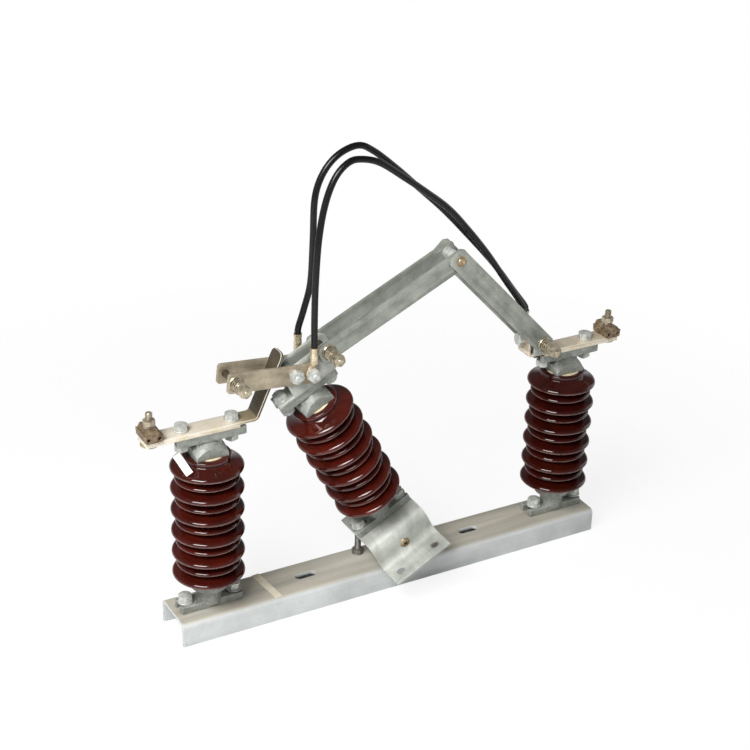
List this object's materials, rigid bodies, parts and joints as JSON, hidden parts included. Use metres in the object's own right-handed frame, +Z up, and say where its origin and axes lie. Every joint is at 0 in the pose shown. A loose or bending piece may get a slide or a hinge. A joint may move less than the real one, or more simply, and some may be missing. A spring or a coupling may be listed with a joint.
{
  "type": "high-voltage disconnect switch pole",
  "caption": "Outdoor disconnect switch pole: ribbed porcelain posts on a steel channel, a rocking centre post, contact fingers, folding toggle arms and jumper cables.",
  "frame": {"origin": "middle of the channel's length and width, on the floor under the flanges", "axes": "+X along the channel towards the hinge end, +Y away from the operating flap, +Z up"},
  "size_m": [0.79, 0.147, 0.7019],
  "materials": {
    "channel_steel": "hot-dip zinc, dull",
    "label_sheet": "matt",
    "galvanised_steel": "hot-dip zinc, dull",
    "galvanised_iron": "cast, hot-dip zinc",
    "bolt_steel": "zinc plated",
    "brown_glaze": "high gloss",
    "tinned_copper": "tinned, satin",
    "arm_bar": "zinc plated, satin",
    "clamp_bronze": "cast, dull",
    "yellow_zinc": "yellow zinc plated",
    "cable_black": "satin",
    "tag_paper": "matt"
  },
  "bodies": {
    "base": {"base_channel": "channel_steel", "label_strip": "label_sheet", "pivot_lugs": "galvanised_steel", "stop_bolt": "bolt_steel", "left_foot": "galvanised_iron", "left_porcelain": "brown_glaze", "left_head": "galvanised_iron", "right_foot": "galvanised_iron", "right_porcelain": "brown_glaze", "right_head": "galvanised_iron", "foot_bolts": "bolt_steel", "head_bolts": "bolt_steel", "left_terminal_bar": "tinned_copper", "fixed_contact": "tinned_copper", "right_terminal_bar": "tinned_copper", "hinge_bar": "tinned_copper", "clamp_bases": "clamp_bronze", "clamp_saddles": "clamp_bronze", "clamp_studs": "yellow_zinc", "paper_tag": "tag_paper", "hinge_bracket": "galvanised_steel", "hinge_spring_bolt": "yellow_zinc", "front_tab_lug": "tinned_copper", "back_tab_lug": "tinned_copper", "tab_bolt": "bolt_steel", "front_cable": "cable_black", "back_cable": "cable_black"},
    "rocker": {"rocker_plate": "galvanised_steel", "rocker_flap": "galvanised_steel", "rocker_back_leg": "galvanised_steel", "pivot_pin": "yellow_zinc", "centre_foot": "galvanised_iron", "centre_porcelain": "brown_glaze", "centre_head": "galvanised_iron", "centre_bolts": "bolt_steel", "finger_bracket": "galvanised_steel", "contact_fingers": "tinned_copper", "finger_bolts": "bolt_steel", "finger_spring_bolt": "yellow_zinc", "arm_spring_bolt": "yellow_zinc", "finger_lugs": "tinned_copper"},
    "left_arm": {"left_arm_bars": "arm_bar", "apex_spacer": "bolt_steel"},
    "right_arm": {"right_arm_bars": "arm_bar", "apex_rivets": "bolt_steel"}
  },
  "joints": [
    {"name": "swing", "type": "hinge", "parent": "base", "child": "rocker", "pos_m": [0, 0, 0.082], "axis": [0, 1, 0], "range_deg": [0, 45], "deforming": ["front_cable", "back_cable"]},
    {"name": "left_arm_fold", "type": "hinge", "parent": "rocker", "child": "left_arm", "pos_m": [-0.12011, 0, 0.4137], "axis": [0, 1, 0], "range_deg": [-65, 0]},
    {"name": "right_arm_fold", "type": "hinge", "parent": "base", "child": "right_arm", "pos_m": [0.245, 0, 0.351], "axis": [0, 1, 0], "range_deg": [0, 63.5]}
  ],
  "couplings": [
    {"joint": "left_arm_fold", "follows": "swing", "ratio": -1.44},
    {"joint": "right_arm_fold", "follows": "swing", "ratio": 1.405}
  ]
}
